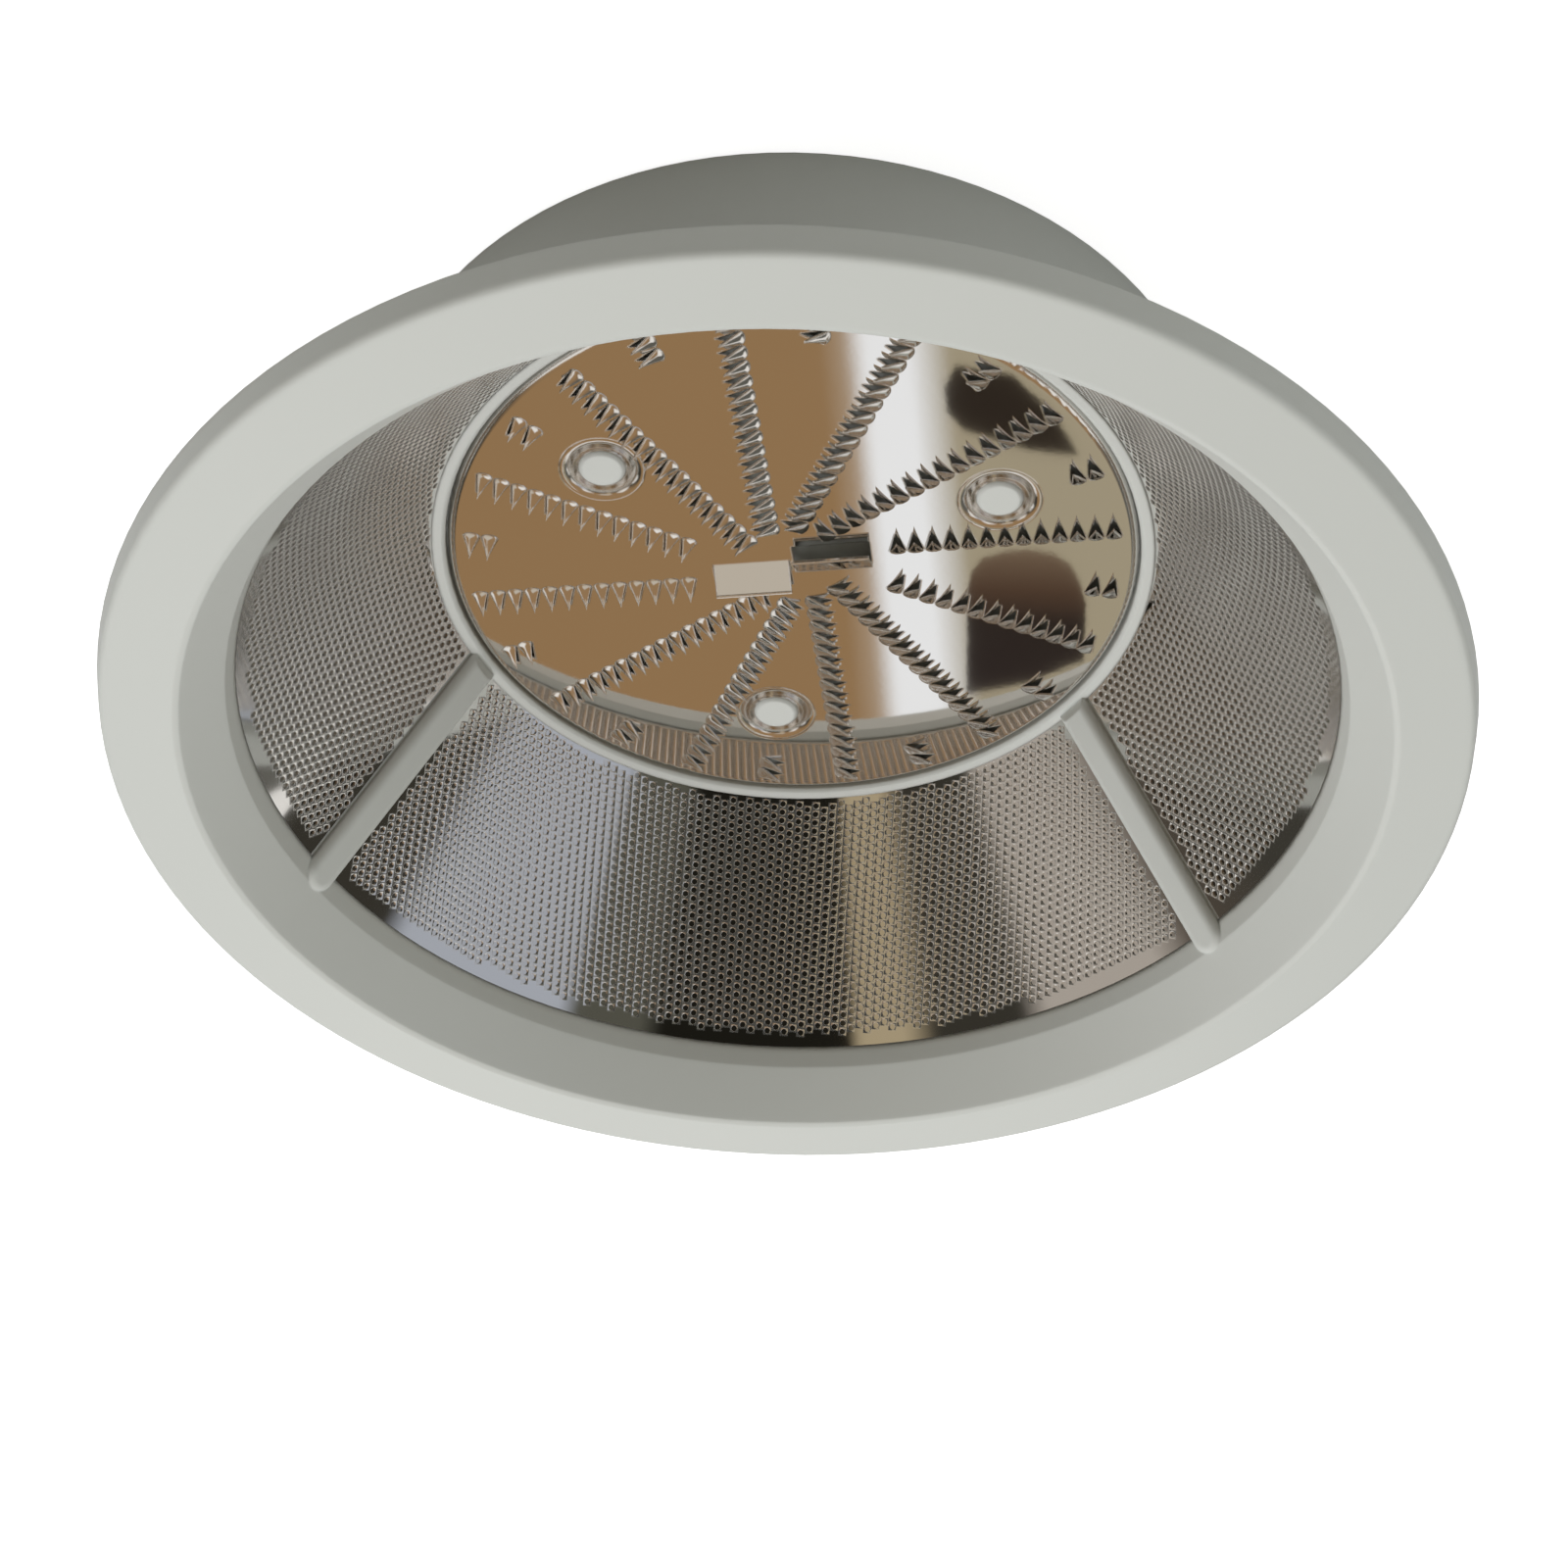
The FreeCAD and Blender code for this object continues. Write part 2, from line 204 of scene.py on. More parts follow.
class FrameSettings(bpy.types.PropertyGroup):
    """Finish of the plastic basket frame."""

    color: FloatVectorProperty(
        name="Colour", description="Colour of the plastic", subtype="COLOR",
        default=(0.60, 0.61, 0.58))
    roughness: FloatProperty(
        name="Roughness", description="Roughness of the plastic",
        default=0.38, subtype="FACTOR", min=0.0, max=1.0)
    edge_round: FloatProperty(
        name="Edge round", description="Radius to which the moulded edges look rounded",
        default=0.0005, unit="LENGTH")


class StageSettings(bpy.types.PropertyGroup):
    """Camera, floor, lamps and the cards that the steel reflects."""

    distance: FloatProperty(
        name="Distance", description="From the camera to the middle of the disc",
        default=0.350, unit="LENGTH")
    elevation: FloatProperty(
        name="Elevation", description="Of the camera above the disc",
        default=math.radians(44.37), unit="ROTATION")
    turn: FloatProperty(
        name="Turn", description="Of the camera round the axis, from the view along +Y",
        default=math.radians(-27.1), unit="ROTATION")
    pitch: FloatProperty(
        name="Pitch", description="Of the camera away from the middle of the disc",
        default=math.radians(4.22), unit="ROTATION")
    roll: FloatProperty(
        name="Roll", description="Of the camera about its own line of sight",
        default=math.radians(177.77), unit="ROTATION")
    lens: FloatProperty(
        name="Lens", description="Focal length in millimetres, on a 36 mm sensor", default=68.0)
    floor_color: FloatVectorProperty(
        name="Floor colour", description="Colour of the floor", subtype="COLOR",
        default=(0.60, 0.60, 0.60))
    floor_glow: FloatProperty(
        name="Floor glow", description="White that the camera sees on top of the floor's own light",
        default=0.85)
    world_light: FloatProperty(
        name="World light", description="Even light from all around", default=0.225)
    ceiling_color: FloatVectorProperty(
        name="Ceiling colour", description="Colour that the steel reflects from overhead",
        subtype="COLOR", default=(0.33, 0.205, 0.105))
    top_power: FloatProperty(
        name="Top lamp", description="Power of the large lamp overhead, in watts", default=12.0)
    side_power: FloatProperty(
        name="Side lamp", description="Power of the lamp at the side, in watts", default=1.7)
    fill_power: FloatProperty(
        name="Fill lamp", description="Power of the lamp opposite the side lamp, in watts", default=2.0)


def wired(tree, kind, inputs=(), **settings):
    """A new node with its settings, and its inputs linked from sockets or set to values."""
    node = tree.nodes.new(kind)
    for name, value in settings.items():
        setattr(node, name, value)
    for key, value in dict(inputs).items():
        if isinstance(value, bpy.types.NodeSocket):
            tree.links.new(value, node.inputs[key])
        else:
            node.inputs[key].default_value = value
    return node


def calc(tree, operation, first, second=0.0):
    """Output of a Math node."""
    return wired(tree, "ShaderNodeMath", {0: first, 1: second}, operation=operation).outputs[0]


def interface(tree, sockets, in_out):
    """Named inputs or outputs of a node tree."""
    for name, kind in sockets.items():
        tree.interface.new_socket(name=name, in_out=in_out, socket_type="NodeSocket" + kind)


def node_of(tree, kind):
    """First node of a kind in a tree."""
    return next(node for node in tree.nodes if node.type == kind)


def principled(name, values):
    """New material with these values on its Principled shader, and that shader."""
    material = bpy.data.materials.new(name)
    material.use_nodes = True
    shader = material.node_tree.nodes["Principled BSDF"]
    for socket, value in values.items():
        shader.inputs[socket].default_value = value
    return material, shader


def window_middle(window):
    """Angle of the middle of a window between two ribs."""
    return (2 * window + 1) * math.pi / WINDOW_COUNT


def round_points(radius, turns, middle=(0.0, 0.0)):
    """Points of a circle at these angles."""
    return [(middle[0] + radius * math.cos(turn), middle[1] + radius * math.sin(turn)) for turn in turns]


def level_ring(mesh, points, level):
    """New vertices at one level."""
    return [mesh.verts.new((x, y, level)) for x, y in points]


def bridge(mesh, inner, outer):
    """Faces from one ring of vertices out to the next, seen from above."""
    for index in range(len(inner)):
        after = (index + 1) % len(inner)
        mesh.faces.new((inner[index], outer[index], outer[after], inner[after]))


def mesh_data(name, mesh):
    """Mesh data from a finished bmesh, which is freed."""
    data = bpy.data.meshes.new(name)
    mesh.to_mesh(data)
    mesh.free()
    return data


def bent_sheet_data(name, mesh):
    """Mesh data from a finished bmesh, smooth apart from its sharp bends."""
    data = mesh_data(name, mesh)
    data.shade_smooth()
    data.set_sharp_from_angle(angle=SHARP_BEND)
    return data


def new_piece(name, mesh):
    """Object that rides on the part."""
    piece = bpy.data.objects.new(name, mesh)
    bpy.context.scene.collection.objects.link(piece)
    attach(piece, "root")
    return piece


def handling_marks():
    """Node group: soft blotches and fine scratches of handled metal or plastic."""
    tree = bpy.data.node_groups.get("Handling marks")
    if tree:
        return tree
    tree = bpy.data.node_groups.new("Handling marks", "ShaderNodeTree")
    interface(tree, {"Blotch scale": "Float", "Grain scale": "Float", "Roughness": "Float",
                     "Spread": "Float"}, "INPUT")
    interface(tree, {"Roughness": "Float", "Height": "Float", "Blotch": "Float"}, "OUTPUT")
    given = wired(tree, "NodeGroupInput")
    place = wired(tree, "ShaderNodeTexCoord").outputs["Object"]
    blotch = wired(tree, "ShaderNodeTexNoise",
                   {"Vector": place, "Scale": given.outputs["Blotch scale"], "Detail": 3.0})
    grain = wired(tree, "ShaderNodeTexNoise",
                  {"Vector": place, "Scale": given.outputs["Grain scale"], "Detail": 2.0})
    swing = calc(tree, "MULTIPLY", calc(tree, "SUBTRACT", blotch.outputs[0], 0.5),
                 given.outputs["Spread"])
    wired(tree, "NodeGroupOutput", {
        "Roughness": calc(tree, "ADD", given.outputs["Roughness"], swing),
        "Height": grain.outputs[0],
        "Blotch": blotch.outputs[0]})
    return tree


def finish_material(name, color, roughness, spread, blotch_scale, grain_scale, grain_height):
    """Principled material with handling marks in its roughness and surface."""
    material, shader = principled(name, {"Base Color": (*color, 1.0)})
    tree = material.node_tree
    marks = wired(tree, "ShaderNodeGroup", {
        "Blotch scale": blotch_scale, "Grain scale": grain_scale,
        "Roughness": roughness, "Spread": spread}, node_tree=handling_marks())
    bump = wired(tree, "ShaderNodeBump", {
        "Height": marks.outputs["Height"], "Strength": 1.0, "Distance": grain_height})
    tree.links.new(marks.outputs["Roughness"], shader.inputs["Roughness"])
    tree.links.new(bump.outputs["Normal"], shader.inputs["Normal"])
    return material


def steel_material(name, color, roughness, metallic=1.0):
    """Bright stainless sheet."""
    material = finish_material(name, color, roughness, spread=0.03, blotch_scale=60.0,
                               grain_scale=900.0, grain_height=0.4e-6)
    material.node_tree.nodes["Principled BSDF"].inputs["Metallic"].default_value = metallic
    return material


def soften_edges(material, radius):
    """Let the edges of a material's surface look rounded."""
    tree = material.node_tree
    soft_edge = wired(tree, "ShaderNodeBevel", {"Radius": radius}, samples=6)
    tree.links.new(soft_edge.outputs["Normal"], node_of(tree, "BUMP").inputs["Normal"])


def plastic_material(settings):
    """Satin moulded plastic with softened edges and a faint mottle."""
    material = finish_material("frame_plastic", settings.color, settings.roughness, spread=0.10,
                               blotch_scale=45.0, grain_scale=1500.0, grain_height=4.0e-6)
    soften_edges(material, settings.edge_round)
    return material


class SIEVE_OT_frame(bpy.types.Operator):
    """Give the moulded basket frame its satin plastic"""

    bl_idname = "sieve.frame"
    bl_label = "Basket frame"

    def execute(self, context):
        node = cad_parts["basket_frame"]
        node.data.materials.clear()
        node.data.materials.append(plastic_material(context.scene.sieve_frame))
        return {"FINISHED"}


def cell_border(settings):
    """Eight points round a cell of the sheet, shared with its neighbours in staggered columns."""
    x = settings.column_pitch / 2
    y = settings.row_pitch / 2
    return [(x, 0), (x, y), (0, y), (-x, y), (-x, 0), (-x, -y), (0, -y), (x, -y)]


def holed_cell(settings):
    """Cell of the flat sheet, face up at level 0, with a round hole whose upper edge is worn."""
    border = cell_border(settings)
    turns = [math.atan2(y, x) for x, y in border]
    hole = round_points(settings.hole_radius, turns)
    mesh = bmesh.new()
    worn = level_ring(mesh, round_points(settings.hole_radius + settings.hole_bevel, turns), 0)
    throat = level_ring(mesh, hole, -settings.bevel_depth)
    exit_ring = level_ring(mesh, hole, -settings.sheet)
    top = level_ring(mesh, border, 0)
    bottom = level_ring(mesh, border, -settings.sheet)
    for inner, outer in ((worn, top), (throat, worn), (exit_ring, throat), (bottom, exit_ring)):
        bridge(mesh, inner, outer)
    return bpy.data.objects.new("holed_cell", mesh_data("holed_cell", mesh))


def plain_cell(settings):
    """Cell of the plain margin, face up at level 0."""
    border = cell_border(settings)
    mesh = bmesh.new()
    mesh.faces.new(level_ring(mesh, border, 0))
    mesh.faces.new(level_ring(mesh, border, -settings.sheet)).normal_flip()
    return bpy.data.objects.new("plain_cell", mesh_data("plain_cell", mesh))


def screen_tree():
    """Geometry nodes: a staggered lattice of cells laid flat, then rolled into a cone."""
    tree = bpy.data.node_groups.new("Perforated screen", "GeometryNodeTree")
    interface(tree, {"Column pitch": "Float", "Row pitch": "Float", "Columns": "Int", "Rows": "Int",
                     "Middle slant": "Float", "Low slant": "Float", "High slant": "Float",
                     "Half angle": "Float", "Low margin": "Float", "High margin": "Float",
                     "Rib margin": "Float", "Cone sine": "Float", "Cone cosine": "Float",
                     "Apex level": "Float", "Window centre": "Float", "Holed cell": "Object",
                     "Plain cell": "Object", "Net material": "Material",
                     "Margin material": "Material"}, "INPUT")
    interface(tree, {"Geometry": "Geometry"}, "OUTPUT")
    given = wired(tree, "NodeGroupInput").outputs

    # Lattice: every other column is half a pitch higher
    width = calc(tree, "MULTIPLY", given["Column pitch"], calc(tree, "SUBTRACT", given["Columns"], 1.0))
    height = calc(tree, "MULTIPLY", given["Row pitch"], calc(tree, "SUBTRACT", given["Rows"], 1.0))
    grid = wired(tree, "GeometryNodeMeshGrid", {
        "Size X": width, "Size Y": height,
        "Vertices X": given["Columns"], "Vertices Y": given["Rows"]})
    index = wired(tree, "GeometryNodeInputIndex").outputs[0]
    column = calc(tree, "FLOOR", calc(tree, "DIVIDE", index, given["Rows"]))
    odd = calc(tree, "MODULO", column, 2.0)
    lift = calc(tree, "ADD", given["Middle slant"],
                calc(tree, "MULTIPLY", calc(tree, "MULTIPLY", odd, 0.5), given["Row pitch"]))
    offset = wired(tree, "ShaderNodeCombineXYZ", {"Y": lift}).outputs[0]
    lattice = wired(tree, "GeometryNodeSetPosition", {"Geometry": grid.outputs[0], "Offset": offset})

    # Slant distance and angle of a point, as seen from the cone's apex in the flat sheet
    place = wired(tree, "ShaderNodeSeparateXYZ",
                  {0: wired(tree, "GeometryNodeInputPosition").outputs[0]}).outputs
    slant = calc(tree, "SQRT", calc(tree, "ADD", calc(tree, "MULTIPLY", place[0], place[0]),
                                    calc(tree, "MULTIPLY", place[1], place[1])))
    angle = calc(tree, "ARCTAN2", place[0], place[1])
    spread = calc(tree, "ABSOLUTE", angle)

    # Cells beyond the sheet go, and those at its edges and along the ribs have no hole
    inside = calc(tree, "MULTIPLY", calc(tree, "GREATER_THAN", slant, given["Low slant"]),
                  calc(tree, "LESS_THAN", slant, given["High slant"]))
    inside = calc(tree, "MULTIPLY", inside, calc(tree, "LESS_THAN", spread, given["Half angle"]))
    outside = calc(tree, "LESS_THAN", inside, 0.5)
    cells = wired(tree, "GeometryNodeDeleteGeometry",
                  {"Geometry": lattice.outputs[0], "Selection": outside}, domain="POINT")
    to_rib = calc(tree, "MULTIPLY", slant, calc(tree, "SUBTRACT", given["Half angle"], spread))
    holed = calc(tree, "GREATER_THAN", to_rib, given["Rib margin"])
    from_low = calc(tree, "SUBTRACT", slant, given["Low slant"])
    from_high = calc(tree, "SUBTRACT", given["High slant"], slant)
    holed = calc(tree, "MULTIPLY", holed, calc(tree, "GREATER_THAN", from_low, given["Low margin"]))
    holed = calc(tree, "MULTIPLY", holed, calc(tree, "GREATER_THAN", from_high, given["High margin"]))
    joined = wired(tree, "GeometryNodeJoinGeometry")
    plain = calc(tree, "LESS_THAN", holed, 0.5)
    for name, wanted, is_plain in (("Holed cell", holed, 0.0), ("Plain cell", plain, 1.0)):
        cell = wired(tree, "GeometryNodeObjectInfo", {"Object": given[name]})
        noted = wired(tree, "GeometryNodeStoreNamedAttribute", {
            "Geometry": cell.outputs["Geometry"], "Name": "plain", "Value": is_plain}, domain="FACE")
        copies = wired(tree, "GeometryNodeInstanceOnPoints", {
            "Points": cells.outputs[0], "Selection": wanted, "Instance": noted.outputs[0]})
        tree.links.new(copies.outputs[0], joined.inputs[0])
    flat = wired(tree, "GeometryNodeRealizeInstances", {0: joined.outputs[0]})
    sheet = wired(tree, "GeometryNodeMergeByDistance",
                  {"Geometry": flat.outputs[0], "Distance": 0.01 * MILLIMETRE})

    # Rolling keeps the slant distance and opens the angle by the cone's sine
    turn = calc(tree, "SUBTRACT", given["Window centre"], calc(tree, "DIVIDE", angle, given["Cone sine"]))
    radius = calc(tree, "SUBTRACT", calc(tree, "MULTIPLY", slant, given["Cone sine"]),
                  calc(tree, "MULTIPLY", place[2], given["Cone cosine"]))
    level = calc(tree, "ADD", calc(tree, "MULTIPLY", slant, given["Cone cosine"]),
                 calc(tree, "MULTIPLY", place[2], given["Cone sine"]))
    rolled = wired(tree, "ShaderNodeCombineXYZ", {
        "X": calc(tree, "MULTIPLY", radius, calc(tree, "COSINE", turn)),
        "Y": calc(tree, "MULTIPLY", radius, calc(tree, "SINE", turn)),
        "Z": calc(tree, "ADD", level, given["Apex level"])}).outputs[0]
    cone = wired(tree, "GeometryNodeSetPosition", {"Geometry": sheet.outputs[0], "Position": rolled})
    net = wired(tree, "GeometryNodeSetMaterial",
                {"Geometry": cone.outputs[0], "Material": given["Net material"]})
    on_margin = wired(tree, "GeometryNodeInputNamedAttribute", {"Name": "plain"})
    dressed = wired(tree, "GeometryNodeSetMaterial", {
        "Geometry": net.outputs[0], "Material": given["Margin material"],
        "Selection": calc(tree, "GREATER_THAN", on_margin.outputs[0], 0.5)})
    wired(tree, "NodeGroupOutput", {"Geometry": dressed.outputs[0]})
    return tree


def grown_mesh(name, tree, values):
    """Plain mesh that a geometry node tree makes from named input values."""
    host = bpy.data.objects.new(name + "_host", bpy.data.meshes.new(name + "_host"))
    bpy.context.scene.collection.objects.link(host)
    modifier = host.modifiers.new(name, "NODES")
    modifier.node_group = tree
    for item in tree.interface.items_tree:
        if item.in_out == "INPUT":
            modifier[item.identifier] = values[item.name]
    bpy.context.view_layer.update()
    evaluated = host.evaluated_get(bpy.context.evaluated_depsgraph_get())
    mesh = bpy.data.meshes.new_from_object(evaluated)
    mesh.name = name
    host.modifiers.remove(modifier)
    bpy.data.objects.remove(host)
    if not mesh.polygons:
        raise RuntimeError(name + " came out empty")
    return mesh


def close_border(mesh):
    """Join the inner and outer face of a sheet all along its border."""
    work = bmesh.new()
    work.from_mesh(mesh)
    border = [edge for edge in work.edges if edge.is_boundary]
    bmesh.ops.bridge_loops(work, edges=border)
    work.to_mesh(mesh)
    work.free()


class SIEVE_OT_screen(bpy.types.Operator):
    """Roll the perforated sheet, one piece for each window between the ribs"""

    bl_idname = "sieve.screen"
    bl_label = "Mesh screen"

    def execute(self, context):
        settings = context.scene.sieve_screen
        run = settings.top_radius - settings.foot_radius
        rise = settings.top_level - settings.foot_level
        length = math.hypot(run, rise)
        sine = run / length
        low = settings.foot_radius / sine - settings.grip
        high = low + length + 2 * settings.grip
        cosine = rise / length
        half_angle = math.pi / WINDOW_COUNT * sine
        flat_low = low * math.cos(half_angle)
        values = {
            "Column pitch": settings.column_pitch,
            "Row pitch": settings.row_pitch,
            "Columns": 2 * math.ceil(high * math.sin(half_angle) / settings.column_pitch) + 1,
            "Rows": math.ceil((high - flat_low) / settings.row_pitch) + 2,
            "Middle slant": (flat_low + high) / 2,
            "Low slant": low,
            "High slant": high,
            "Half angle": half_angle,
            "Low margin": settings.low_margin + settings.grip,
            "High margin": settings.high_margin + settings.grip,
            "Rib margin": settings.rib_margin,
            "Cone sine": sine,
            "Cone cosine": cosine,
            "Apex level": settings.foot_level - settings.foot_radius / sine * cosine,
            "Holed cell": holed_cell(settings),
            "Plain cell": plain_cell(settings),
            "Net material": steel_material("screen_net", settings.net_color, settings.net_roughness,
                                           settings.net_metallic),
            "Margin material": steel_material("screen_steel", settings.color, settings.roughness),
        }
        tree = screen_tree()
        for window in range(WINDOW_COUNT):
            values["Window centre"] = window_middle(window)
            mesh = grown_mesh("screen_window_%d" % (window + 1), tree, values)
            close_border(mesh)
            mesh.shade_smooth()
            mesh.set_sharp_from_angle(angle=math.radians(settings.sharp_degrees))
            piece = new_piece(mesh.name, mesh)
            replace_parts(piece, "mesh_screen")
        for cell in ("Holed cell", "Plain cell"):
            bpy.data.objects.remove(values[cell])
        return {"FINISHED"}


def between(pairs, position):
    """Value at a position between the given (position, value) pairs."""
    for (start, low), (end, high) in zip(pairs, pairs[1:]):
        if position <= end:
            return low + (high - low) * (position - start) / (end - start)
    return pairs[-1][1]


def tooth_object(settings):
    """One tooth over the X axis: a domed root that runs out into a thorn bent up from the disc."""
    stations = (0.0, 0.04, 0.09, 0.15, 0.22, 0.40, 0.60, 0.80, 1.0)
    tilts = ((0.0, 4.0), (0.05, 28.0), (0.12, 37.0), (0.19, 25.0), (0.60, 24.0), (1.0, 34.0))
    across = (-1.0, -0.5, 0.0, 0.5, 1.0)
    root_narrowing = 0.9
    taper = 1.1
    dome = 0.4
    dome_fade = 3
    clear_of_disc = 0.01 * MILLIMETRE
    whole = settings.tooth_root + settings.tooth_length
    mesh = bmesh.new()
    rows = []
    front = settings.hinge - settings.tooth_root
    rise = clear_of_disc
    last = 0.0
    for station in stations:
        tilt = math.radians(between(tilts, (station + last) / 2))
        front += whole * (station - last) * math.cos(tilt)
        rise += whole * (station - last) * math.sin(tilt)
        last = station
        behind = max(0.0, 1.0 - whole * station / settings.tooth_root)
        ahead = max(0.0, whole * station - settings.tooth_root) / settings.tooth_length
        half = settings.tooth_half * math.sqrt(1.0 - root_narrowing * behind ** 2) * (1.0 - ahead) ** taper
        droop = dome * rise * (1.0 - ahead) ** dome_fade
        if station < 1.0:
            rows.append([mesh.verts.new((half * share, front, rise - droop * share ** 2))
                         for share in across])
    tip = mesh.verts.new((0, front, rise))
    for row, after in zip(rows, rows[1:]):
        for index in range(len(across) - 1):
            mesh.faces.new((row[index], row[index + 1], after[index + 1], after[index]))
    for index in range(len(across) - 1):
        mesh.faces.new((rows[-1][index], rows[-1][index + 1], tip))
    rim = rows[0] + [row[-1] for row in rows[1:]] + [tip] + [row[0] for row in reversed(rows[1:])]
    below = [mesh.verts.new(vertex.co - Vector((0, 0, settings.tooth_sheet))) for vertex in rim]
    bridge(mesh, rim, below)
    mesh.faces.new(list(reversed(below)))
    return bpy.data.objects.new("tooth", bent_sheet_data("tooth", mesh))


def teeth_tree():
    """Geometry nodes: teeth in rows to the centre, with a short pair at the edge between two rows."""
    tree = bpy.data.node_groups.new("Grater teeth", "GeometryNodeTree")
    interface(tree, {"Half rows": "Int", "Turn": "Float", "End radius": "Float", "Pitch": "Float",
                     "Long count": "Int", "Short count": "Int", "Pair count": "Int", "Level": "Float",
                     "Tooth": "Object", "Material": "Material"}, "INPUT")
    interface(tree, {"Geometry": "Geometry"}, "OUTPUT")
    given = wired(tree, "NodeGroupInput").outputs
    count = calc(tree, "MULTIPLY", given["Half rows"], given["Long count"])
    line = wired(tree, "GeometryNodeMeshLine", {"Count": count})
    index = wired(tree, "GeometryNodeInputIndex").outputs[0]
    row = calc(tree, "FLOOR", calc(tree, "DIVIDE", index, given["Long count"]))
    place = calc(tree, "MODULO", index, given["Long count"])

    # Odd half rows hold a pair, and the two rows beside each blade are short
    is_pair = calc(tree, "MODULO", row, 2.0)
    round_half = calc(tree, "MULTIPLY", given["Half rows"], 0.5)
    group = calc(tree, "MODULO", calc(tree, "ADD", row, 2.0), round_half)
    is_short = calc(tree, "LESS_THAN", group, 2.5)
    is_short = calc(tree, "MULTIPLY", is_short, calc(tree, "SUBTRACT", 1.0, is_pair))
    cut = calc(tree, "SUBTRACT", given["Long count"], given["Short count"])
    limit = calc(tree, "SUBTRACT", given["Long count"], calc(tree, "MULTIPLY", is_short, cut))
    surplus = calc(tree, "SUBTRACT", given["Long count"], given["Pair count"])
    limit = calc(tree, "SUBTRACT", limit, calc(tree, "MULTIPLY", is_pair, surplus))
    beyond = calc(tree, "GREATER_THAN", calc(tree, "ADD", place, 0.5), limit)

    # Places along the rows, before the surplus points go
    angle = calc(tree, "ADD", given["Turn"],
                 calc(tree, "DIVIDE", calc(tree, "MULTIPLY", row, math.tau), given["Half rows"]))
    radius = calc(tree, "SUBTRACT", given["End radius"], calc(tree, "MULTIPLY", place, given["Pitch"]))
    spot = wired(tree, "ShaderNodeCombineXYZ", {
        "X": calc(tree, "MULTIPLY", radius, calc(tree, "COSINE", angle)),
        "Y": calc(tree, "MULTIPLY", radius, calc(tree, "SINE", angle)),
        "Z": given["Level"]}).outputs[0]
    placed = wired(tree, "GeometryNodeSetPosition", {"Geometry": line.outputs[0], "Position": spot})
    kept = wired(tree, "GeometryNodeDeleteGeometry",
                 {"Geometry": placed.outputs[0], "Selection": beyond}, domain="POINT")

    where = wired(tree, "ShaderNodeSeparateXYZ",
                  {0: wired(tree, "GeometryNodeInputPosition").outputs[0]}).outputs
    facing_out = wired(tree, "FunctionNodeAxisAngleToRotation", {
        "Axis": (0, 0, 1), "Angle": calc(tree, "ARCTAN2", where[1], where[0])})
    tooth = wired(tree, "GeometryNodeObjectInfo", {"Object": given["Tooth"]})
    copies = wired(tree, "GeometryNodeInstanceOnPoints", {
        "Points": kept.outputs[0], "Instance": tooth.outputs["Geometry"],
        "Rotation": facing_out.outputs[0]})
    solid = wired(tree, "GeometryNodeRealizeInstances", {0: copies.outputs[0]})
    dressed = wired(tree, "GeometryNodeSetMaterial",
                    {"Geometry": solid.outputs[0], "Material": given["Material"]})
    wired(tree, "NodeGroupOutput", {"Geometry": dressed.outputs[0]})
    return tree


def plate_mesh(settings, material):
    """Copy of the solid disc without its plain teeth, their windows closed at the hinge."""
    same_place = 0.001 * MILLIMETRE
    tooth_level = DISC_LEVEL + 0.1 * MILLIMETRE
    blade_end = settings.end_radius / 4
    level_normal = 0.9999
    sharp_angle = math.radians(22)
    mesh = bmesh.new()
    mesh.from_mesh(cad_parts["grater_disc"].data)
    bmesh.ops.remove_doubles(mesh, verts=mesh.verts, dist=same_place)
    along_blades = Vector((math.cos(settings.turn), math.sin(settings.turn), 0))
    across_blades = Vector((-along_blades.y, along_blades.x, 0))

    def is_tooth(vertex):
        by_blade = (abs(vertex.co.dot(across_blades)) < settings.blade_reach
                    and abs(vertex.co.dot(along_blades)) < blade_end)
        return vertex.co.z > tooth_level and not by_blade

    tips = [vertex for vertex in mesh.verts if is_tooth(vertex)]
    bmesh.ops.delete(mesh, geom=tips, context="VERTS")
    rims = [edge for edge in mesh.edges if edge.is_boundary]
    bmesh.ops.holes_fill(mesh, edges=rims)
    bmesh.ops.recalc_face_normals(mesh, faces=mesh.faces)
    for face in mesh.faces:
        face.smooth = True
    for edge in mesh.edges:
        level = [abs(face.normal.z) > level_normal for face in edge.link_faces]
        edge.smooth = len(set(level)) == 1 and edge.calc_face_angle(0.0) < sharp_angle
    data = mesh_data("disc_plate", mesh)
    if "custom_normal" in data.attributes:
        data.attributes.remove(data.attributes["custom_normal"])
    data.materials.clear()
    data.materials.append(material)
    return data


def dish_mesh(settings, material):
    """Smoothly pressed dish over each of the disc's plain dimples."""
    steps = 64
    shares = (0.0, 0.12, 0.25, 0.4, 0.55, 0.7, 0.85, 1.0)
    sheet = 0.2 * settings.dish_depth
    outline = [(settings.dish_radius + (settings.dish_floor - settings.dish_radius) * share,
                -settings.dish_depth * share * share * (3 - 2 * share)) for share in shares]
    outline += [(settings.dish_middle, -settings.dish_depth),
                (settings.dish_middle, -settings.dish_depth - sheet),
                (settings.dish_radius, -sheet)]
    turns = [step * math.tau / steps for step in range(steps)]
    mesh = bmesh.new()
    for window in range(WINDOW_COUNT):
        middle = round_points(settings.dish_circle, [window_middle(window)])[0]
        rings = [level_ring(mesh, round_points(radius, turns, middle), DISC_LEVEL + level)
                 for radius, level in outline]
        for ring, inner in zip(rings, rings[1:] + rings[:1]):
            bridge(mesh, inner, ring)
    data = bent_sheet_data("disc_dishes", mesh)
    data.materials.append(material)
    return data


